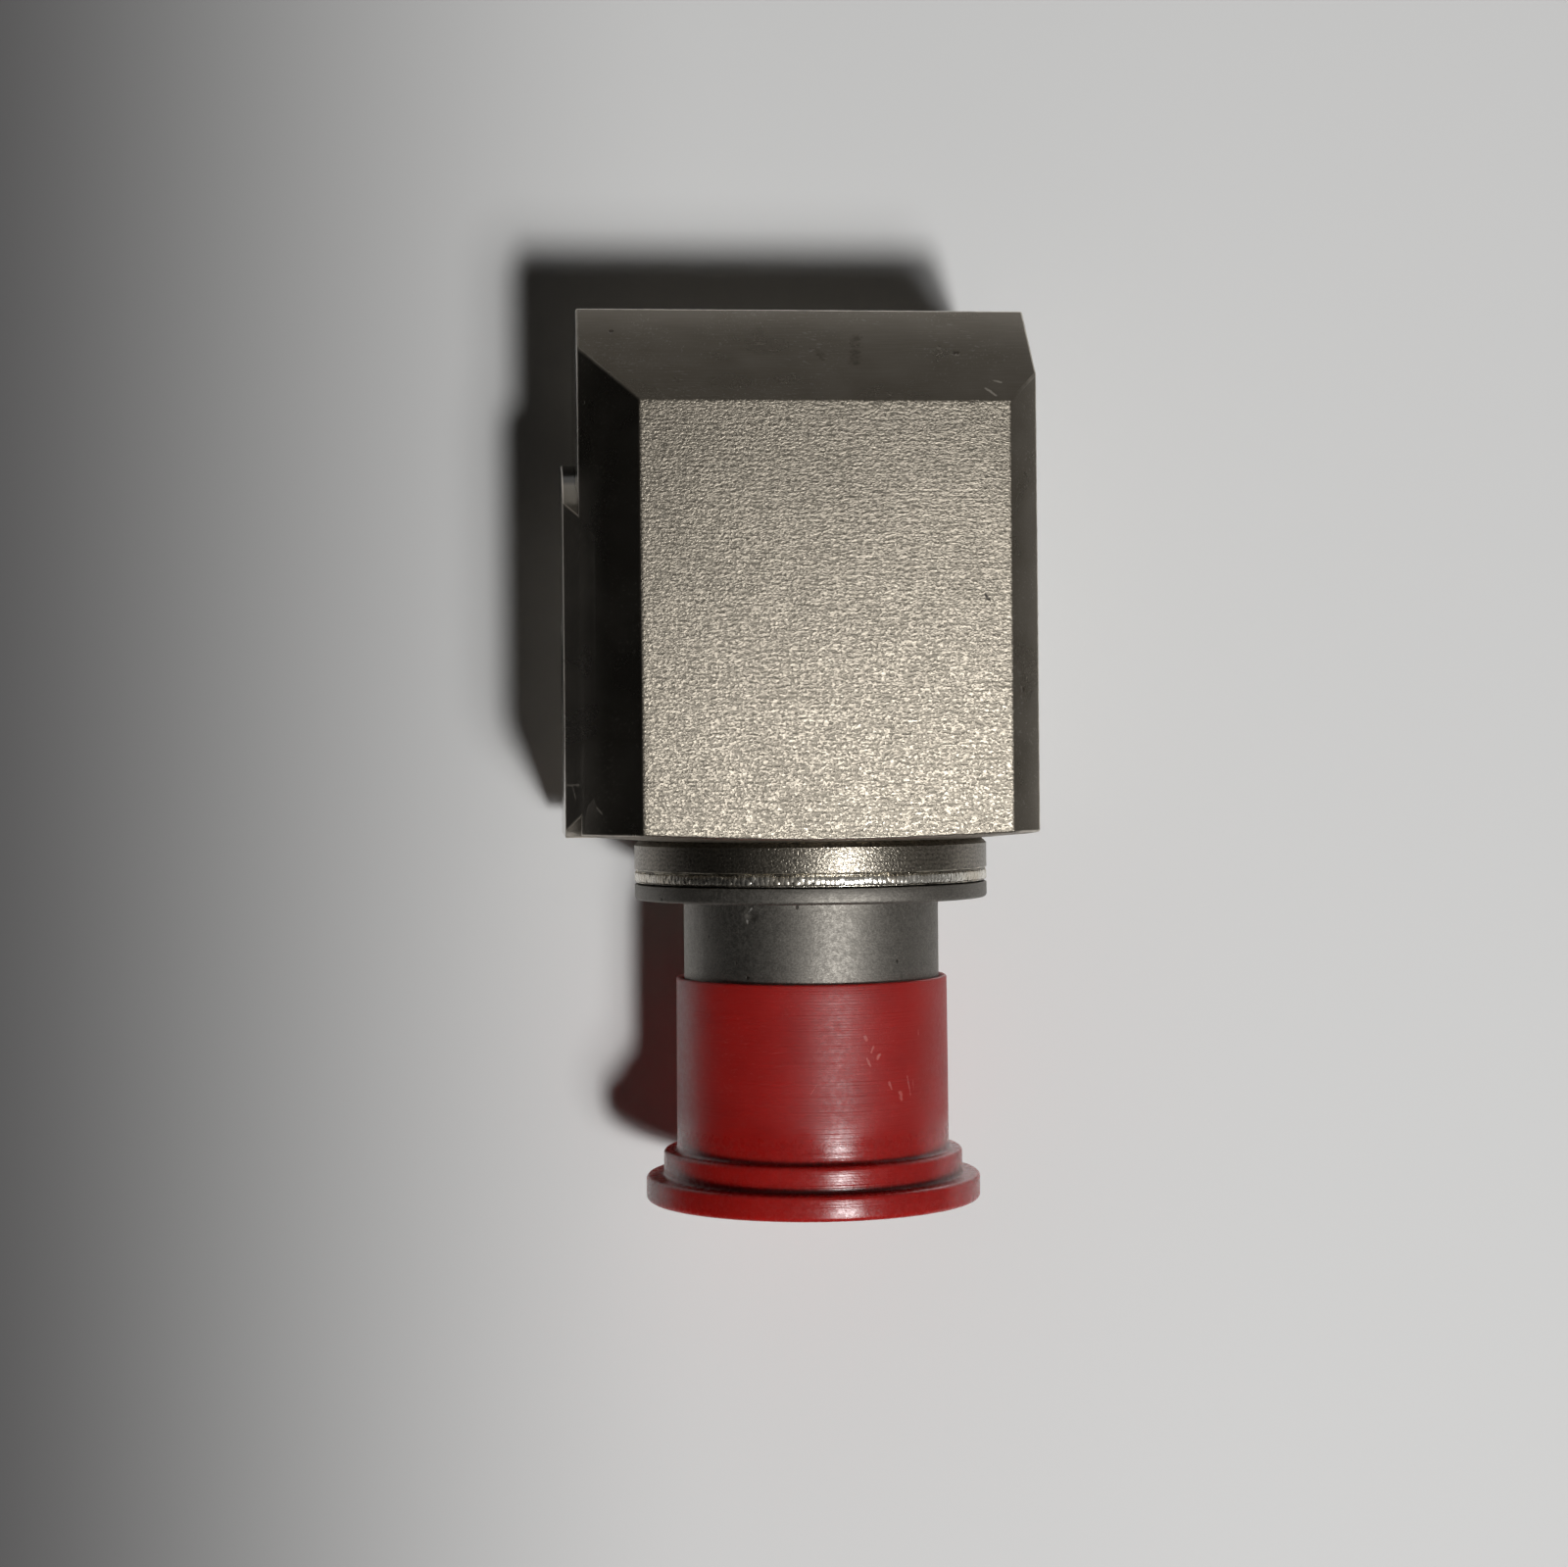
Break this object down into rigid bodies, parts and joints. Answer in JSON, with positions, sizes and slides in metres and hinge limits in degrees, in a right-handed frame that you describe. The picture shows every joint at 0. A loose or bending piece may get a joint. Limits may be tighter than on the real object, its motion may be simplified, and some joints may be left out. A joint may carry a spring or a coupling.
{
  "type": "side-exit vibration sensor",
  "caption": "Side-exit industrial vibration sensor: chamfered steel block with a round mounting boss, welded collar, round connector and red push-on cap.",
  "frame": {"origin": "Middle of the part's footprint, in the plane of its mounting face.", "axes": "The sensor's own frame, as it stands on its mounting face. +Z is the sensing axis, away from the machine; +X points out of the connector; the part is even about Y."},
  "size_m": [0.0542, 0.0254, 0.0279],
  "materials": {
    "blasted_steel": "bead-blasted stainless steel, warm grey, fine grain",
    "machined_steel": "fine-turned stainless steel",
    "red_plastic": "soft red moulded polyethylene, satin",
    "seal_glass": "fused dark sealing glass",
    "contact_gold": "gold-plated contact",
    "element_ceramic": "fired ceramic",
    "tungsten": "ground tungsten alloy",
    "bronze_foil": "rolled bronze",
    "amber_polymer": "amber insulating polymer",
    "board_laminate": "green board laminate",
    "moulded_black": "moulded epoxy",
    "capacitor_yellow": "moulded capacitor body",
    "lead_insulation": "thin white wire insulation"
  },
  "bodies": {
    "root": {"housing": "blasted_steel", "connector_shell": "machined_steel", "glass_seal": "seal_glass", "pin_a": "contact_gold", "pin_b": "contact_gold", "protective_cap": "red_plastic", "isolation_plate": "element_ceramic", "element_post": "machined_steel", "crystal_front": "element_ceramic", "crystal_rear": "element_ceramic", "signal_electrode": "bronze_foil", "seismic_mass_front": "tungsten", "seismic_mass_rear": "tungsten", "clamp_screw": "machined_steel", "clamp_nut": "machined_steel", "insulating_sleeve": "amber_polymer", "insulating_washer_front": "amber_polymer", "insulating_washer_rear": "amber_polymer", "shield_can": "bronze_foil", "circuit_board": "board_laminate", "amplifier_chip": "moulded_black", "coupling_capacitor": "capacitor_yellow", "bias_resistor": "element_ceramic", "feedback_resistor": "element_ceramic", "protection_diode": "moulded_black", "signal_lead": "lead_insulation", "pin_lead_a": "lead_insulation", "pin_lead_b": "lead_insulation"}
  },
  "joints": []
}
